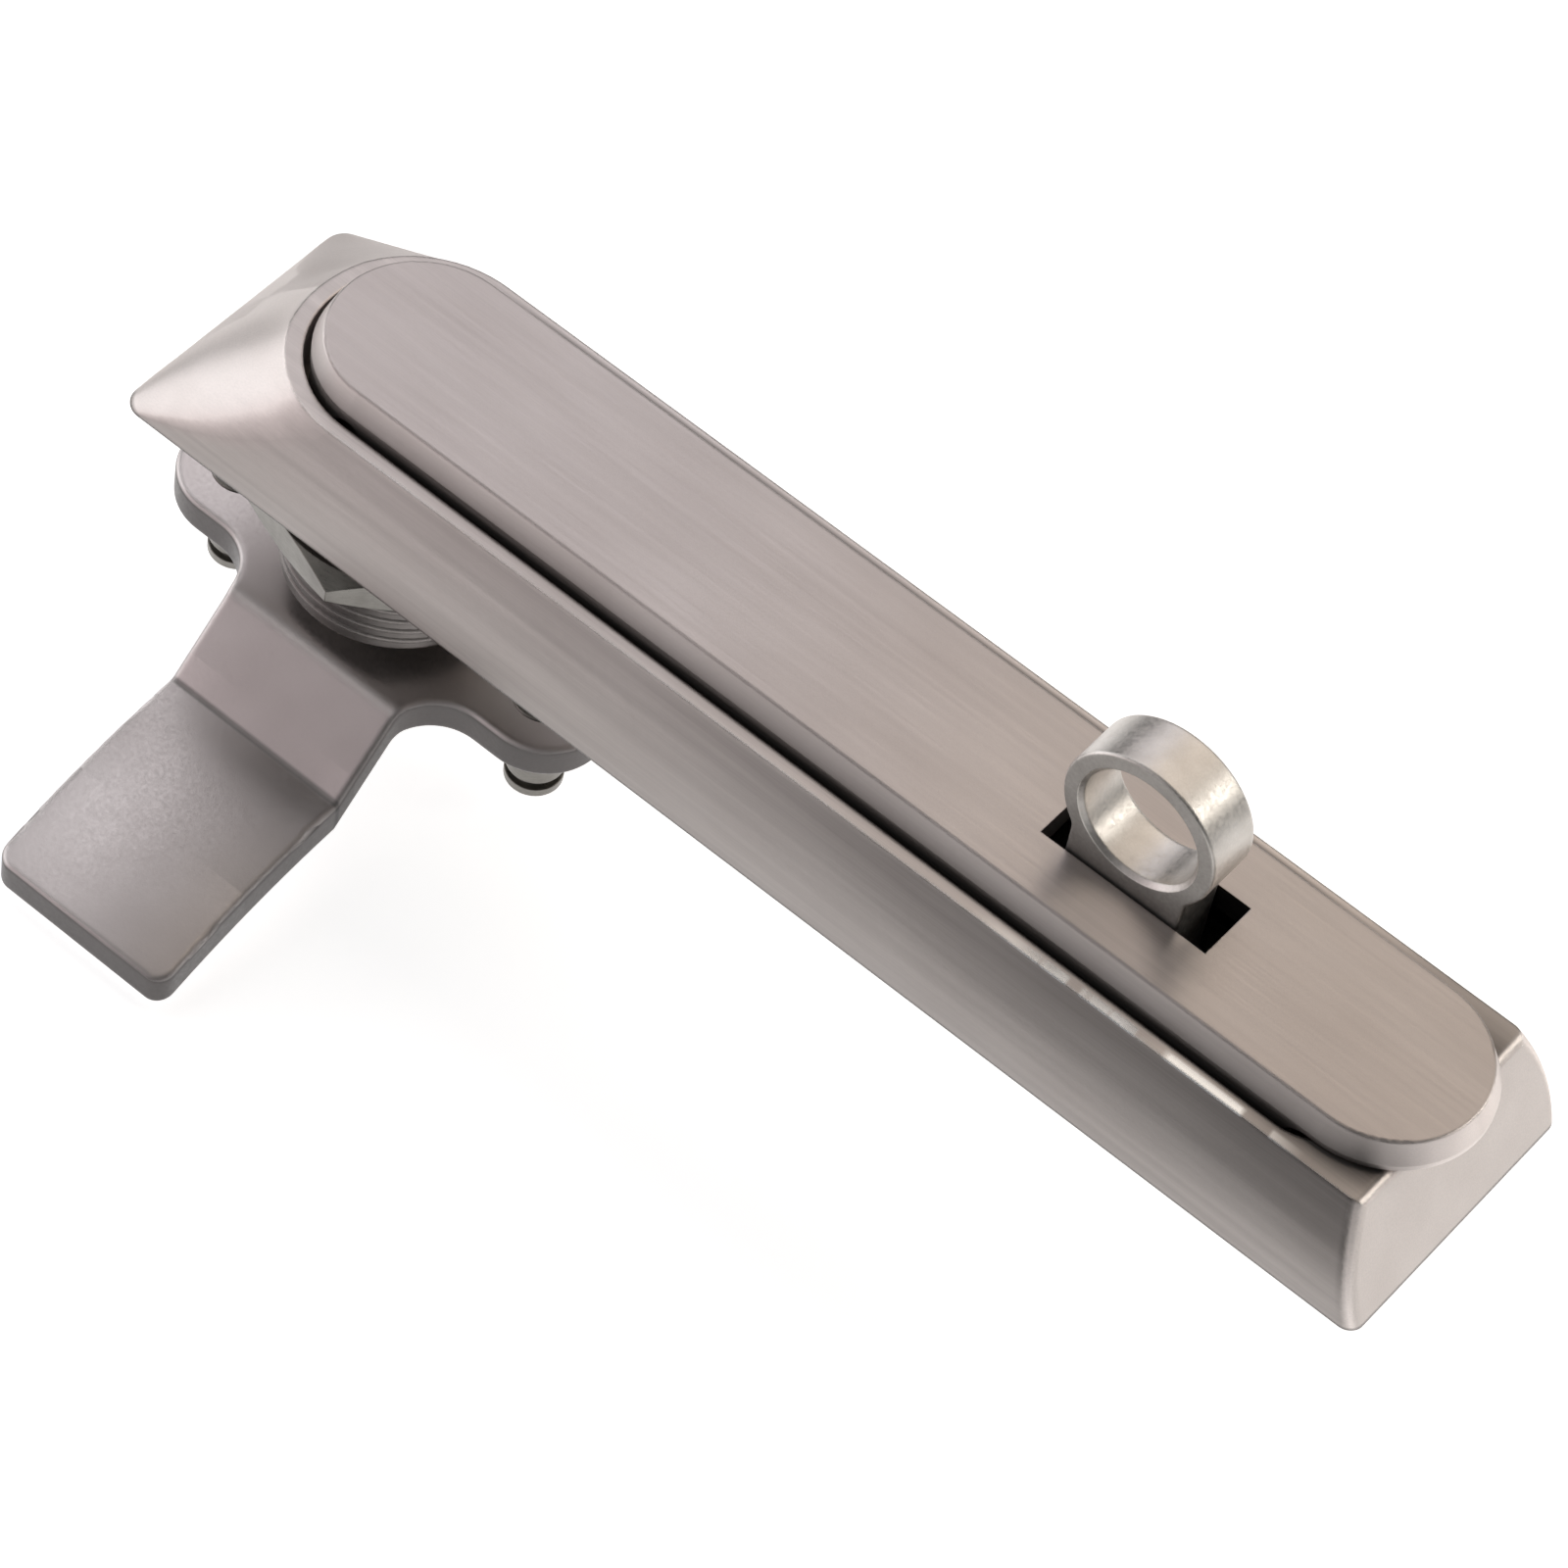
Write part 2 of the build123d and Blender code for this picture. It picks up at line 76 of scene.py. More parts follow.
def newMaterial(name):
    material = bpy.data.materials.new(name)
    tree, surface = emptyTree(material, "ShaderNodeOutputMaterial")
    shader = tree.nodes.new("ShaderNodeBsdfPrincipled")
    tree.links.new(shader.outputs["BSDF"], surface)
    return material, tree, shader


noiseLooks = {
    "soft": {"Scale": 1.0, "Detail": 2.0, "Roughness": 0.5},
    "fine": {"Scale": 1.0, "Detail": 3.0, "Roughness": 0.6},
}


def noise(tree, cellSize, kind="soft"):
    # noise with cells of the given size, in metres along each of the object's own axes
    coords = tree.nodes.new("ShaderNodeTexCoord")
    mapping = tree.nodes.new("ShaderNodeMapping")
    mapping.inputs["Scale"].default_value = [1 / size for size in cellSize]
    texture = tree.nodes.new("ShaderNodeTexNoise")
    for name, value in noiseLooks[kind].items():
        texture.inputs[name].default_value = value
    tree.links.new(coords.outputs["Object"], mapping.inputs["Vector"])
    tree.links.new(mapping.outputs["Vector"], texture.inputs["Vector"])
    return texture.outputs["Fac"]


def remap(tree, value, low, high, fromLow=0.3, fromHigh=0.7):
    # low to high as the value goes from fromLow to fromHigh, which noise mostly keeps to if none is given
    node = tree.nodes.new("ShaderNodeMapRange")
    settings = {"Value": value, "From Min": fromLow, "From Max": fromHigh, "To Min": low, "To Max": high}
    for name, setting in settings.items():
        feed(tree, node.inputs[name], setting)
    return node.outputs["Result"]


def mixColours(tree, factor, first, second, blend="MIX"):
    # first and second are constant tones or outputs of other nodes
    node = tree.nodes.new("ShaderNodeMix")
    node.data_type = "RGBA"
    node.blend_type = blend
    feed(tree, node.inputs["Factor"], factor)
    for name, colour in (("A", first), ("B", second)):
        feed(tree, node.inputs[name], (*colour, 1) if isinstance(colour, tuple) else colour)
    return node.outputs["Result"]


def scaleColour(tree, colour, factor):
    return mixColours(tree, 1.0, colour, factor, "MULTIPLY")


def mathNode(tree, operation, first, second=None):
    node = tree.nodes.new("ShaderNodeMath")
    node.operation = operation
    feed(tree, node.inputs[0], first)
    if second is not None:
        feed(tree, node.inputs[1], second)
    return node.outputs[0]


def turnVector(tree, vector, kind, fromSpace, toSpace):
    node = tree.nodes.new("ShaderNodeVectorTransform")
    node.vector_type = kind
    node.convert_from = fromSpace
    node.convert_to = toSpace
    tree.links.new(vector, node.inputs["Vector"])
    return node.outputs["Vector"]


def splitVector(tree, vector):
    node = tree.nodes.new("ShaderNodeSeparateXYZ")
    tree.links.new(vector, node.inputs[0])
    return node.outputs


def ownNormal(tree):
    # the surface normal in the object's own axes, split in three
    geometry = tree.nodes.new("ShaderNodeNewGeometry")
    return splitVector(tree, turnVector(tree, geometry.outputs["Normal"], "NORMAL", "WORLD", "OBJECT"))


def facing(tree, axis):
    # how squarely a face looks along one of the object's axes, 0 to 1: size of that part of the normal
    return mathNode(tree, "ABSOLUTE", ownNormal(tree)[axis])


def coordinate(tree, axis):
    # the object's own coordinate along one axis, in metres
    coords = tree.nodes.new("ShaderNodeTexCoord")
    return splitVector(tree, coords.outputs["Object"])[axis]


def distanceFrom(tree, axis, middle):
    # how far a point lies from a plane across one of the object's axes, in metres
    return mathNode(tree, "ABSOLUTE", mathNode(tree, "SUBTRACT", coordinate(tree, axis), middle))


def within(tree, inside, outside, limits):
    # each limit is an axis with two places along it: outside up to the first, inside from the second on
    for axis, places in limits:
        inside = remap(tree, coordinate(tree, axis), outside, inside, *places)
    return inside


def bump(tree, height, distance, strength, under):
    node = tree.nodes.new("ShaderNodeBump")
    node.inputs["Distance"].default_value = distance
    node.inputs["Strength"].default_value = strength
    tree.links.new(height, node.inputs["Height"])
    tree.links.new(under, node.inputs["Normal"])
    return node.outputs["Normal"]


# finishes

def softEdges(tree, radius, samples=6):
    # normal that rounds off sharp edges over the given radius
    node = tree.nodes.new("ShaderNodeBevel")
    node.samples = samples
    node.inputs["Radius"].default_value = radius
    return node.outputs["Normal"]


def brushAround(tree, shader, amount, quarterTurn=0.25):
    # scratches run along X on the top and the long walls and along Y on the ends,
    # and highlights spread across them, so a quarter turn from the tangent
    normal = ownNormal(tree)
    sideways = mathNode(tree, "ABSOLUTE", normal["Y"])
    along = mathNode(tree, "ADD", sideways, mathNode(tree, "ABSOLUTE", normal["Z"]))
    side = remap(tree, mathNode(tree, "GREATER_THAN", normal["Y"], 0.0), 1, -1, 0, 1)
    direction = tree.nodes.new("ShaderNodeCombineXYZ")
    tree.links.new(along, direction.inputs["X"])
    tree.links.new(mathNode(tree, "MULTIPLY", normal["X"], side), direction.inputs["Y"])
    tangent = turnVector(tree, direction.outputs[0], "VECTOR", "OBJECT", "WORLD")
    tree.links.new(tangent, shader.inputs["Tangent"])
    shader.inputs["Anisotropic"].default_value = amount
    shader.inputs["Anisotropic Rotation"].default_value = quarterTurn


def edgeWear(tree, edges, turn):
    # 1 along a sharp edge, 0 on the faces: turn holds the cosine of the angle between the softened normal
    # and the face's own at full wear and at none
    geometry = tree.nodes.new("ShaderNodeNewGeometry")
    product = tree.nodes.new("ShaderNodeVectorMath")
    product.operation = "DOT_PRODUCT"
    tree.links.new(geometry.outputs["Normal"], product.inputs[0])
    tree.links.new(edges, product.inputs[1])
    return remap(tree, product.outputs["Value"], 1, 0, *turn)


def rimShade(tree, shade):
    # painted shade: the rim darkens towards the handle, along the gap and round the lip at the free end; past
    # the gap's edge the land gets painted light
    across = remap(tree, distanceFrom(tree, "Y", shade["middle"]), *shade["tone"], *shade["across"])
    return within(tree, across, 1.0, shade["limits"])


def slotShade(tree, slot):
    # painted shade: the upright walls of the slot for the eye are darkened
    walls = remap(tree, facing(tree, "Z"), slot["tone"], 1.0, *slot["upright"])
    return within(tree, walls, 1.0, slot["limits"])


def paintedRimGlint(tree, glint):
    # painted glint: 1 on broken patches of the front of the rim beside the eye, 0 elsewhere
    patches = remap(tree, noise(tree, glint["cell"]), 0.0, 1.0, *glint["breaks"])
    return within(tree, patches, 0.0, glint["limits"])


def highlightBand(tree, band):
    # painted highlight: 1 on the roundings at the free end, by the part of the normal along X: none, full,
    # still full, none
    along = ownNormal(tree)["X"]
    start, full, stillFull, end = band
    rising = remap(tree, along, 0, 1, start, full)
    falling = remap(tree, along, 1, 0, stillFull, end)
    return mathNode(tree, "MULTIPLY", rising, falling)


def brushedSteel(name, look):
    # long fine scratches over slow clouds of tone
    material, tree, shader = newMaterial(name)
    brushAround(tree, shader, look["stretch"])
    edges = softEdges(tree, look["edge"])
    scratches = noise(tree, look["scratchCell"], "fine")
    clouds = noise(tree, look["cloudCell"])
    streaks = remap(tree, noise(tree, look["streakCell"]), *look["streakTone"])
    # painted shade on the faces along Y, set by height and, on the base, darker at the free end's top
    wallTop = remap(tree, coordinate(tree, "X"), *look["wallTop"], *look["wallAlong"])
    paintedWallShade = remap(tree, coordinate(tree, "Z"), look["wallFoot"], wallTop, *look["wallRise"])
    wear = edgeWear(tree, edges, look["wearTurn"])
    shades = [
        remap(tree, scratches, *look["scratchTone"]),
        remap(tree, facing(tree, "X"), 1.0, streaks, *look["streakRange"]),
        remap(tree, facing(tree, "Y"), 1.0, paintedWallShade, *look["wallRange"]),
        # painted shade low down: on the base's seat and neck, and inside the handle
        remap(tree, coordinate(tree, "Z"), look["underShade"], 1.0, *look["underRange"]),
    ]
    shades.extend(rimShade(tree, shade) for shade in look.get("rimShades", ()))
    if "slot" in look:
        shades.append(slotShade(tree, look["slot"]))
    # painted highlight on the roundings at the free end
    corners = highlightBand(tree, look["highlightBand"])
    shades.append(remap(tree, corners, 1.0, look["highlightTone"], 0, 1))
    # edges worn smoother, their colour lifted as a painted highlight
    shades.append(remap(tree, wear, 1.0, look["wearHighlightTone"], 0, 1))
    tone = mixColours(tree, remap(tree, clouds, 0, 1), look["darkTone"], look["lightTone"])
    for shade in shades:
        tone = scaleColour(tree, tone, shade)
    # painted glint: near-white patches on the front of the rim, smoother there too
    if "glint" in look:
        glint = paintedRimGlint(tree, look["glint"])
        tone = mixColours(tree, glint, tone, look["glint"]["tone"])
        wear = mathNode(tree, "MAXIMUM", wear, glint)
    roughness = remap(tree, scratches, *look["roughness"])
    roughness = remap(tree, wear, look["wearRoughness"], roughness, 1, 0)
    normal = bump(tree, scratches, look["scratchDepth"], look["scratchBump"], edges)
    shader.inputs["Metallic"].default_value = 1.0
    tree.links.new(tone, shader.inputs["Base Color"])
    tree.links.new(roughness, shader.inputs["Roughness"])
    tree.links.new(normal, shader.inputs["Normal"])
    return material


def grainySteel(name, look):
    # fine even grain of a tumbled casting or a machined piece, with another tone on the faces across Y
    material, tree, shader = newMaterial(name)
    grain = noise(tree, look["grainCell"], "fine")
    clouds = noise(tree, look["cloudCell"])
    face = remap(tree, facing(tree, "Y"), 0, 1, *look["faceRange"])
    tone = mixColours(tree, remap(tree, clouds, 0, 1), look["darkTone"], look["lightTone"])
    tone = scaleColour(tree, tone, remap(tree, face, 1.0, look["faceTone"], 0, 1))
    tone = scaleColour(tree, tone, remap(tree, grain, *look["grainTone"]))
    roughness = remap(tree, grain, *look["roughness"])
    roughness = remap(tree, face, look["faceRoughness"], roughness, 1, 0)
    normal = bump(tree, grain, look["grainDepth"], look["grainBump"], softEdges(tree, look["edge"]))
    shader.inputs["Metallic"].default_value = 1.0
    tree.links.new(tone, shader.inputs["Base Color"])
    tree.links.new(roughness, shader.inputs["Roughness"])
    tree.links.new(normal, shader.inputs["Normal"])
    return material


def camSteel(name, look):
    # blasted steel; the tongue is slightly crowned past its crease, and the crease is a dark line of painted
    # shade
    material, tree, shader = newMaterial(name)
    grain = noise(tree, look["grainCell"], "fine")
    clouds = noise(tree, look["cloudCell"])
    halfWidth = look["crownHalfWidth"]
    across = remap(tree, coordinate(tree, "X"), -halfWidth, halfWidth, -halfWidth, halfWidth)
    crown = remap(tree, coordinate(tree, "Y"), 0, look["crown"], *look["crownStart"])
    crown = mathNode(tree, "MULTIPLY", mathNode(tree, "MULTIPLY", across, across), crown)
    start, end = look["tipRange"]
    toTip = remap(tree, coordinate(tree, "Y"), 0, end - start, start, end)
    tip = mathNode(tree, "MULTIPLY", mathNode(tree, "MULTIPLY", toTip, toTip), look["tipRise"])
    shape = mathNode(tree, "ADD", crown, tip)
    crownNormal = bump(tree, shape, 1.0, 1.0, softEdges(tree, look["edge"]))
    # painted shade along the crease
    fromCrease = distanceFrom(tree, "Y", look["creasePlace"])
    creaseShade = remap(tree, fromCrease, look["creaseShade"], 1.0, *look["creaseRange"])
    edgeTone = remap(tree, facing(tree, "Z"), look["edgeTone"], 1.0, *look["edgeRange"])
    tone = mixColours(tree, remap(tree, clouds, 0, 1), look["darkTone"], look["lightTone"])
    tone = scaleColour(tree, scaleColour(tree, tone, creaseShade), edgeTone)
    normal = bump(tree, grain, look["grainDepth"], look["grainBump"], crownNormal)
    shader.inputs["Metallic"].default_value = 1.0
    tree.links.new(tone, shader.inputs["Base Color"])
    tree.links.new(remap(tree, grain, *look["roughness"]), shader.inputs["Roughness"])
    tree.links.new(normal, shader.inputs["Normal"])
    return material


def sealRubber(name, look):
    material, tree, shader = newMaterial(name)
    grain = noise(tree, look["grainCell"])
    tone = mixColours(tree, remap(tree, grain, 0, 1), look["darkTone"], look["lightTone"])
    tree.links.new(tone, shader.inputs["Base Color"])
    tree.links.new(remap(tree, grain, *look["roughness"]), shader.inputs["Roughness"])
    return material


# looks: a Tone is a colour or a factor on it, a Range is the stretch over which it sets in, lengths in metres

brushing = {
    "stretch": 0.75,
    "scratchCell": (0.012, 0.00018, 0.00018),
    "scratchDepth": 0.00004,
    "scratchBump": 0.12,
    "streakRange": (0.55, 0.15),     # streaks on the faces along X, none on those across it
    "cloudCell": (0.022, 0.009, 0.009),
    "roughness": (0.36, 0.46),
    "wearTurn": (0.90, 0.995),
}
handleLook = {
    **brushing,
    "darkTone": (0.575, 0.525, 0.505),
    "lightTone": (0.635, 0.585, 0.565),
    "scratchTone": (0.94, 1.05),
    "streakCell": (0.035, 0.0009, 0.0009),
    "streakTone": (0.97, 1.03),
    "wallFoot": 0.38,                # painted shade: the bevel's sides are darker than the top, and darkest down in the gap
    "wallTop": (0.84, 0.80),         # at either end of wallAlong
    "wallAlong": (0.0, 0.12),
    "wallRise": (0.0138, 0.0168),
    "wallRange": (0.45, 0.85),
    # painted shade low inside the handle
    "underShade": 0.5,
    "underRange": (0.0115, 0.0125),
    # painted shade in the slot for the eye
    "slot": {
        "tone": 0.2,
        "upright": (0.2, 0.6),
        "limits": (
            ("Y", (-0.0058, -0.0054)), ("Y", (0.0058, 0.0054)),
            ("X", (0.064, 0.066)), ("X", (0.115, 0.113)),
        ),
    },
    "highlightBand": (0.35, 0.7, 1.1, 1.2),     # painted highlight on the lip's bevel
    "highlightTone": 1.35,
    "edge": 0.0002,
    # painted highlight on worn edges
    "wearHighlightTone": 1.1,
    "wearRoughness": 0.3,
}
baseLook = {
    **brushing,
    "darkTone": (0.63, 0.58, 0.555),
    "lightTone": (0.69, 0.64, 0.615),
    "scratchTone": (0.92, 1.06),
    "streakCell": (0.045, 0.0013, 0.0013),
    "streakTone": (0.92, 1.07),
    "wallFoot": 0.61,                # painted shade: the long walls are darker than the ends, most at the free end's top, for the dark they reflect
    "wallTop": (0.60, 0.37),
    "wallAlong": (0.05, 0.115),
    "wallRise": (0.004, 0.0095),
    "wallRange": (0.70, 0.88),
    "underShade": 0.30,               # painted shade on the seat and neck under the base
    "underRange": (0.0001, 0.0004),
    "rimShades": (
        {
            # painted shade on the gap's edge, painted light on the land beyond it
            "tone": (0.3, 1.2),
            "middle": 0.0004,
            "across": (0.0119, 0.0125),
            "limits": (("X", (-0.006, 0.008)), ("X", (0.118, 0.100)), ("Z", (0.0128, 0.0131))),
        },
        {
            # painted shade round the lip at the free end
            "tone": (0.35, 1.0),
            "middle": 0.0,
            "across": (0.0095, 0.0155),
            "limits": (("X", (0.106, 0.116)), ("X", (0.140, 0.135)), ("Z", (0.0128, 0.0131))),
        },
    ),
    "highlightBand": (0.25, 0.45, 0.78, 0.90),  # painted highlight on the upright roundings at the free end
    "highlightTone": 1.4,
    "edge": 0.0005,
    "wearHighlightTone": 1.45,                # edges worn smooth, with their colour lifted as a painted highlight
    "wearRoughness": 0.2,
    # painted glint on the front of the rim beside the eye
    "glint": {
        "tone": (0.96, 0.98, 1.0),
        "cell": (0.003, 0.02, 0.02),
        "breaks": (0.38, 0.46),
        "limits": (
            ("X", (0.080, 0.090)), ("X", (0.119, 0.112)),
            ("Y", (-0.0121, -0.0124)), ("Z", (0.01305, 0.01315)),
        ),
    },
}
eyeLook = {
    "darkTone": (0.64, 0.61, 0.575),
    "lightTone": (0.76, 0.73, 0.695),
    "grainTone": (0.88, 1.08),
    "faceTone": 0.58,                # the flat faces across Y are darker than the rest
    "faceRange": (0.75, 0.95),
    "faceRoughness": 0.65,
    "edge": 0.0003,
    "grainCell": (0.0004, 0.0004, 0.0004),
    "cloudCell": (0.003, 0.003, 0.003),
    "roughness": (0.32, 0.50),
    "grainDepth": 0.00004,
    "grainBump": 0.28,
}
camLook = {
    "darkTone": (0.565, 0.525, 0.515),
    "lightTone": (0.645, 0.605, 0.595),
    "edgeTone": 0.20,                # the faces that do not face Z are darker than the top and bottom
    "edgeRange": (0.25, 0.75),
    "creasePlace": -0.0204,
    "creaseRange": (0.00016, 0.0004),
    # painted shade along the crease
    "creaseShade": 0.55,
    "crown": -8.0,                   # fall of the sides, times the square of the distance from the middle
    "crownHalfWidth": 0.0115,
    "crownStart": (-0.018, -0.034),  # where the crown begins and where it is full, along Y
    "tipRange": (-0.026, -0.0465),   # the end of the tongue turns up a little
    "tipRise": 5.5,
    "edge": 0.0008,
    "grainCell": (0.0004, 0.0004, 0.0004),
    "cloudCell": (0.012, 0.012, 0.012),
    "roughness": (0.32, 0.44),
    "grainDepth": 0.00003,
    "grainBump": 0.25,
}
fastenerLook = {
    # painted shade: the fasteners are toned far darker than bare steel, as the nut sits in the shade under
    # the base
    "darkTone": (0.20, 0.19, 0.175),
    "lightTone": (0.27, 0.26, 0.24),
    "grainTone": (0.9, 1.1),
    "faceTone": 1.0,
    "faceRange": (0.75, 0.95),
    "faceRoughness": 0.34,
    "edge": 0.0002,
    "grainCell": (0.0008, 0.0008, 0.0002),
    "cloudCell": (0.004, 0.004, 0.004),
    "roughness": (0.26, 0.38),
    "grainDepth": 0.00002,
    "grainBump": 0.08,
}
rubberLook = {
    "darkTone": (0.02, 0.02, 0.02),
    "lightTone": (0.045, 0.045, 0.045),
    "grainCell": (0.0004, 0.0004, 0.0004),
    "roughness": (0.5, 0.65),
}
finishes = {
    "base_steel": brushedSteel("base_steel", baseLook),
    "handle_steel": brushedSteel("handle_steel", handleLook),
    "eye_steel": grainySteel("eye_steel", eyeLook),
    "cam_steel": camSteel("cam_steel", camLook),
    "fastener_steel": grainySteel("fastener_steel", fastenerLook),
    "seal_rubber": sealRubber("seal_rubber", rubberLook),
}

for row in frame["record"]["subparts"]:
    piece = nodes[row["node"]]
    piece.data.materials.clear()
    piece.data.materials.append(finishes[row["material_slot"]])
print("finishes on", len(finishes), "slots")


# thread on the neck, above and below the nut

neckThreadLook = {
    "runs": ((-0.0003, -0.0042), (-0.0084, -0.0176)),     # top and bottom of each threaded length
    "pitch": 0.0015,
    "root": 0.0118,          # inside the plain neck
    "crest": 0.0122,
    "footWidth": 0.0014,
    "crestWidth": 0.0003,
    "stepsPerTurn": 72,
    "fadeTurns": 0.2,
    "leastRise": 0.1,        # share of the full height at the very ends
}


def makeNeckThread(look):
    # trapezoid profile carried down a helix, a in turns:
    # (r cos 2 pi a, r sin 2 pi a, top - pitch a + height across the profile),
    # with r rising from the root over the first part of a turn and falling back over the last
    foot = look["footWidth"] / 2
    tip = look["crestWidth"] / 2
    rise = np.array((0, 1, 1, 0)) * (look["crest"] - look["root"])
    drop = np.array((foot, tip, -tip, -foot))
    corners = len(rise)
    around = np.arange(corners)
    points = []
    faces = []
    offset = 0
    for top, bottom in look["runs"]:
        turns = (top - bottom - look["footWidth"]) / look["pitch"]
        steps = int(turns * look["stepsPerTurn"]) + 1
        turn = np.linspace(0, turns, steps)
        fade = np.clip(np.minimum(turn, turns - turn) / look["fadeTurns"], look["leastRise"], 1)
        radius = look["root"] + fade[:, None] * rise
        angle = 2 * np.pi * turn[:, None]
        height = top - foot - look["pitch"] * turn[:, None] + drop * np.ones_like(radius)
        helix = np.stack((radius * np.cos(angle), radius * np.sin(angle), height), axis=2)
        points.append(helix.reshape(-1, 3))
        step, side = np.meshgrid(np.arange(steps - 1), around, indexing="ij")
        ahead = (side + 1) % corners
        here = corners * step
        there = here + corners
        quads = np.stack((here + side, here + ahead, there + ahead, there + side), axis=2)
        faces.append(quads.reshape(-1, corners) + offset)
        ends = np.stack((around[::-1], corners * (steps - 1) + around))
        faces.append(ends + offset)
        offset += corners * steps
    mesh = bpy.data.meshes.new("neck_thread")
    mesh.from_pydata(np.concatenate(points).tolist(), [], np.concatenate(faces).tolist())
    mesh.update()
    thread = bpy.data.objects.new("neck_thread", mesh)
    bpy.context.scene.collection.objects.link(thread)
    mesh.materials.append(finishes["base_steel"])
    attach(thread, "base_assembly")
    print("neck thread:", len(mesh.polygons), "faces")


makeNeckThread(neckThreadLook)


# floor and light

floorLook = {
    "drop": 0.0003,       # floor below the part's lowest point
    "halfSize": 3.0,
    "tone": (0.90, 0.90, 0.90),
    "lift": 0.735,        # brings the lit floor up to white
    "liftFar": 0.5,       # share of the lift that is left far out
    "fade": (0.16, 0.70),
    "middle": (0.065, -0.11),
}


def makeFloor(look):
    height = cadLow.z - look["drop"]
    reach = (-look["halfSize"], look["halfSize"])
    u, v = np.meshgrid(reach, reach)
    points = np.stack((u.ravel(), v.ravel(), np.full(u.size, height)), axis=1)
    mesh = bpy.data.meshes.new("floor")
    mesh.from_pydata(points.tolist(), [], [(0, 1, 3, 2)])
    floor = bpy.data.objects.new("floor", mesh)
    bpy.context.scene.collection.objects.link(floor)
    material = bpy.data.materials.new("floor_white")
    tree, surface = emptyTree(material, "ShaderNodeOutputMaterial")
    diffuse = tree.nodes.new("ShaderNodeBsdfDiffuse")
    diffuse.inputs["Color"].default_value = (*look["tone"], 1)
    rays = tree.nodes.new("ShaderNodeLightPath").outputs
    seen = mathNode(tree, "MAXIMUM", rays["Is Camera Ray"], rays["Is Glossy Ray"])
    seen = mathNode(tree, "MAXIMUM", seen, rays["Is Transmission Ray"])
    coords = tree.nodes.new("ShaderNodeTexCoord")
    distance = tree.nodes.new("ShaderNodeVectorMath")
    distance.operation = "DISTANCE"
    distance.inputs[1].default_value = (*look["middle"], height)
    tree.links.new(coords.outputs["Object"], distance.inputs[0])
    farLift = look["lift"] * look["liftFar"]
    lift = remap(tree, distance.outputs["Value"], look["lift"], farLift, *look["fade"])
    glow = tree.nodes.new("ShaderNodeEmission")
    tree.links.new(mathNode(tree, "MULTIPLY", seen, lift), glow.inputs["Strength"])
    both = tree.nodes.new("ShaderNodeAddShader")
    tree.links.new(diffuse.outputs[0], both.inputs[0])
    tree.links.new(glow.outputs[0], both.inputs[1])
    tree.links.new(both.outputs[0], surface)
    mesh.materials.append(material)


makeFloor(floorLook)

worldLook = {
    "horizon": (0.04, 0.04, 0.04),
    "zenith": (0.16, 0.16, 0.16),
    "rise": (0.0, 0.9),
    "strength": 1.0,
}


def makeWorld(look):
    world = bpy.data.worlds.new("studio")
    bpy.context.scene.world = world
    tree, surface = emptyTree(world, "ShaderNodeOutputWorld")
    background = tree.nodes.new("ShaderNodeBackground")
    background.inputs["Strength"].default_value = look["strength"]
    coords = tree.nodes.new("ShaderNodeTexCoord")
    height = remap(tree, splitVector(tree, coords.outputs["Generated"])["Z"], 0, 1, *look["rise"])
    tone = mixColours(tree, height, look["horizon"], look["zenith"])
    tree.links.new(tone, background.inputs["Color"])
    tree.links.new(background.outputs[0], surface)


makeWorld(worldLook)

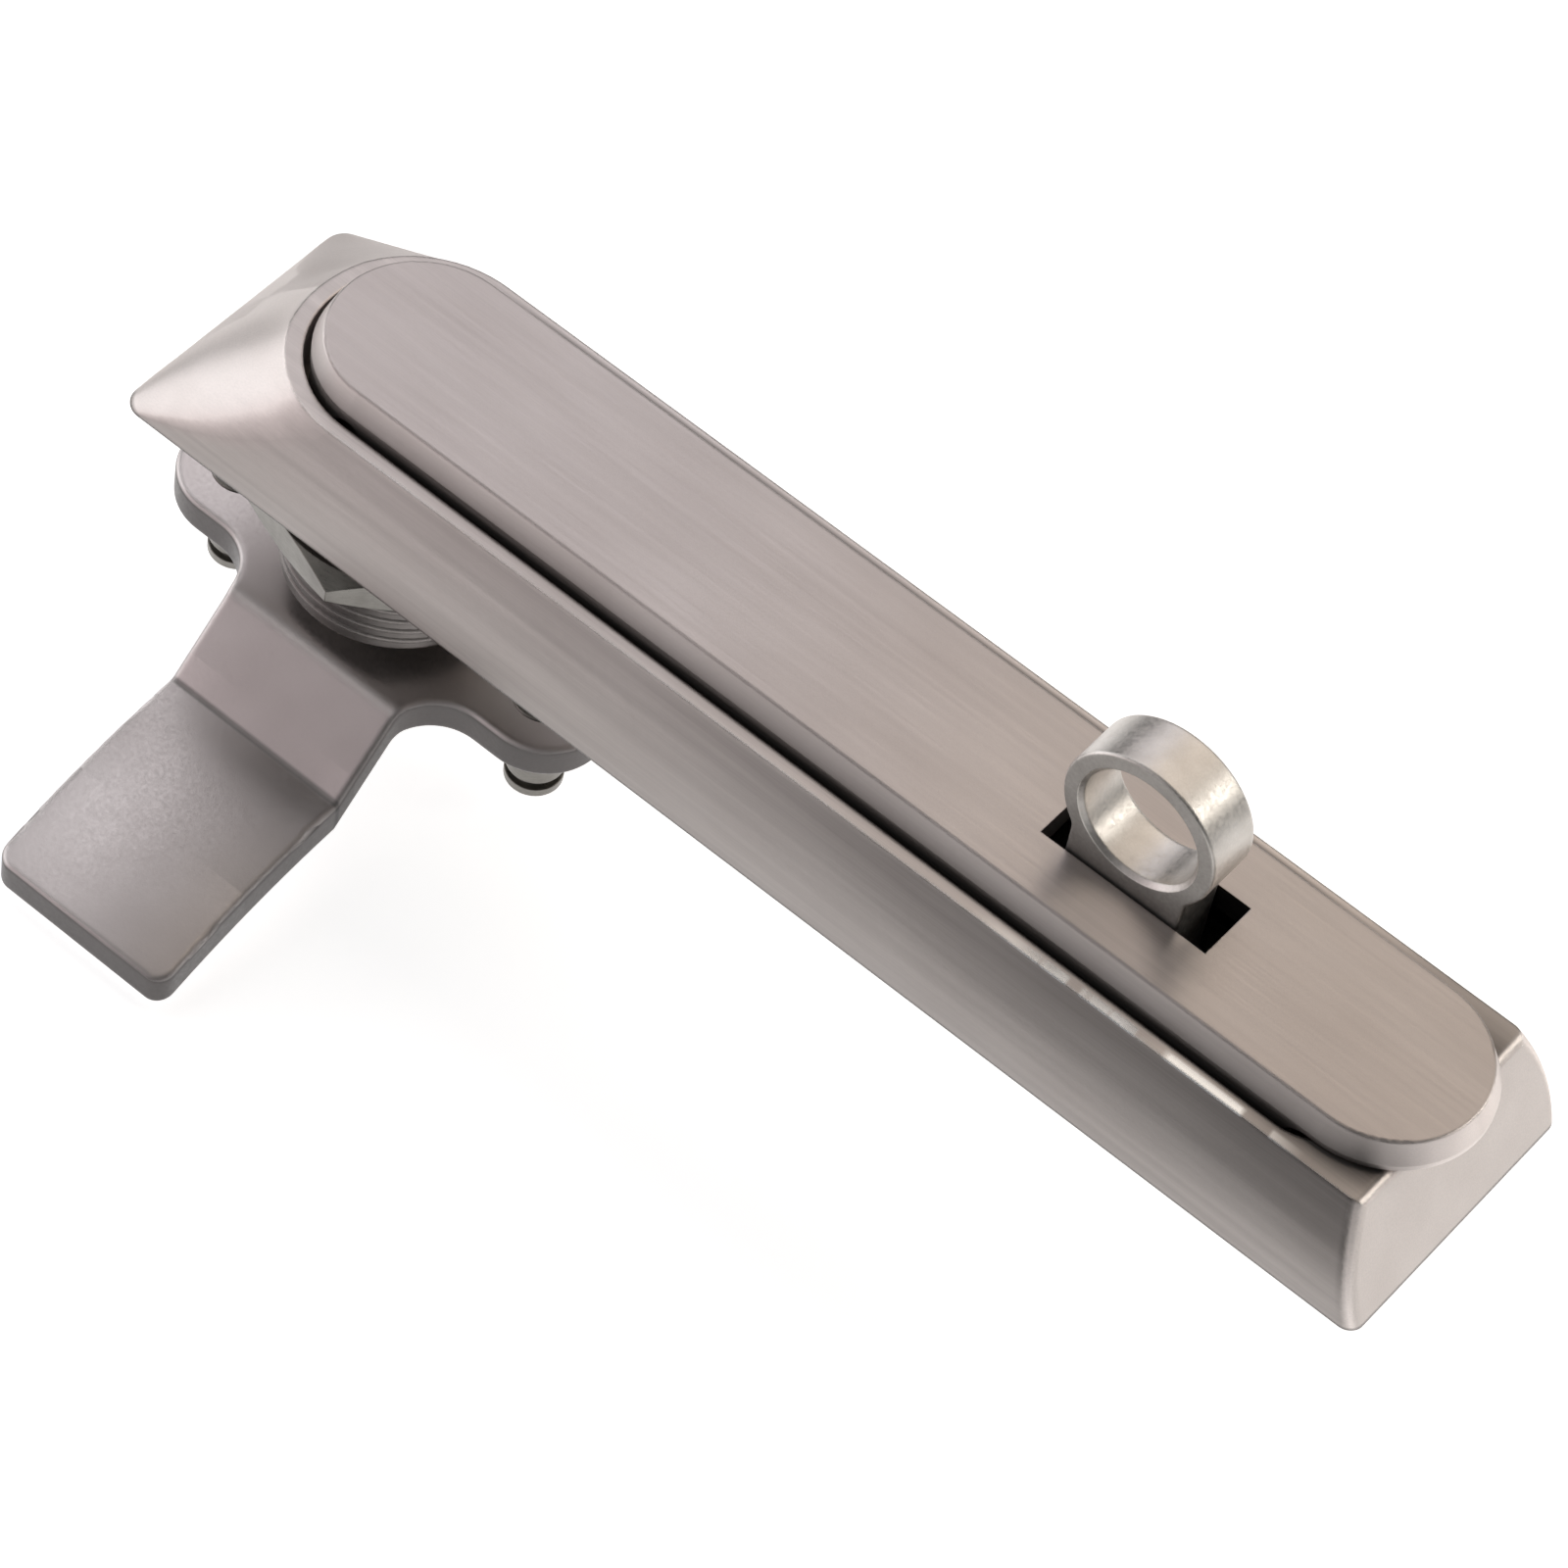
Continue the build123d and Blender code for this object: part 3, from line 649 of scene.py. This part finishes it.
lampLooks = {
    # two panels over the back, neutral above the hinge end and warm above the free end
    "sky_left": {
        "place": (-0.226, 0.203, 0.33), "aim": (-0.226, 0, 0),
        "size": (0.34, 0.34), "watts": 0.36, "tint": (1.0, 0.965, 1.0),
    },
    "sky_right": {
        "place": (0.114, 0.203, 0.33), "aim": (0.114, 0, 0),
        "size": (0.34, 0.34), "watts": 0.34, "tint": (1.0, 0.875, 0.75),
    },
    # a low window at the hinge end and a weaker card in front of it
    "left_window": {
        "place": (-0.45, -0.08, 0.10), "aim": (0, 0, 0),
        "size": (0.35, 0.30), "watts": 0.55, "tint": (0.98, 0.98, 1.0),
    },
    "front_card": {
        "place": (-0.28, -0.36, 0.08), "aim": (0, 0, 0),
        "size": (0.40, 0.25), "watts": 0.33, "tint": (1.0, 0.87, 0.89),
    },
    # fill from the front, from above the hinge end and, twice, from behind the free end
    "front_sky": {
        "place": (-0.12, -0.36, 0.42), "aim": (0.06, 0, 0),
        "size": (0.50, 0.10), "watts": 0.15, "tint": (1.0, 0.97, 0.96),
    },
    "over_left": {
        "place": (-0.35, 0, 0.45), "aim": (0, 0, 0),
        "size": (0.3, 0.3), "watts": 0.16, "tint": (1.0, 0.98, 1.0),
    },
    "back_low": {
        "place": (0.36, 0.42, 0.19), "aim": (0.13, 0, 0.015),
        "size": (0.30, 0.16), "watts": 0.16, "tint": (1.0, 0.98, 0.95),
    },
    "back_right": {
        "place": (0.42, 0.235, 0.26), "aim": (0.10, 0, 0),
        "size": (0.14, 0.14), "watts": 0.32, "tint": (1.0, 0.95, 0.87),
    },
}


def lookRotation(place, aim, roll=0.0):
    # right, up and backward axes of something that looks from place to aim, rolled about that line
    back = np.subtract(place, aim)
    back = back / np.linalg.norm(back)
    level = np.cross((0, 0, 1), back)
    level = level / np.linalg.norm(level)
    above = np.cross(back, level)
    right = cos(roll) * level + sin(roll) * above
    up = cos(roll) * above - sin(roll) * level
    return np.stack((right, up, back), axis=1)


def placeObject(thing, place, axes):
    matrix = np.identity(4)
    matrix[:3, :3] = axes
    matrix[:3, 3] = place
    thing.matrix_world = Matrix(matrix)
    bpy.context.scene.collection.objects.link(thing)


def makeLamps(looks):
    for name, look in looks.items():
        data = bpy.data.lights.new(name, "AREA")
        data.shape = "RECTANGLE"
        data.size, data.size_y = look["size"]
        data.energy = look["watts"]
        data.color = look["tint"]
        lamp = bpy.data.objects.new(name, data)
        lamp.visible_camera = False
        placeObject(lamp, look["place"], lookRotation(look["place"], look["aim"]))


makeLamps(lampLooks)
print("floor, world and", len(lampLooks), "lamps")


# camera

cameraLook = {
    "target": (0.0562, -0.0107, 0.0079),
    "distance": 0.600,
    "azimuth": radians(29.75),      # from -Y towards +X
    "elevation": radians(53.18),
    "roll": radians(12.30),
    "lens": 144.88,                 # this and the sensor in millimetres
    "sensor": 36.0,
    "clip": (0.01, 20),
}


def makeCamera(look):
    across = cos(look["elevation"])
    back = (
        across * sin(look["azimuth"]),
        -across * cos(look["azimuth"]),
        sin(look["elevation"]),
    )
    place = np.add(look["target"], np.multiply(back, look["distance"]))
    data = bpy.data.cameras.new("photo_view")
    data.lens = look["lens"]
    data.sensor_width = look["sensor"]
    data.clip_start, data.clip_end = look["clip"]
    camera = bpy.data.objects.new("photo_view", data)
    placeObject(camera, place, lookRotation(place, look["target"], look["roll"]))
    bpy.context.scene.camera = camera


makeCamera(cameraLook)
bpy.context.scene.view_settings.view_transform = "Standard"
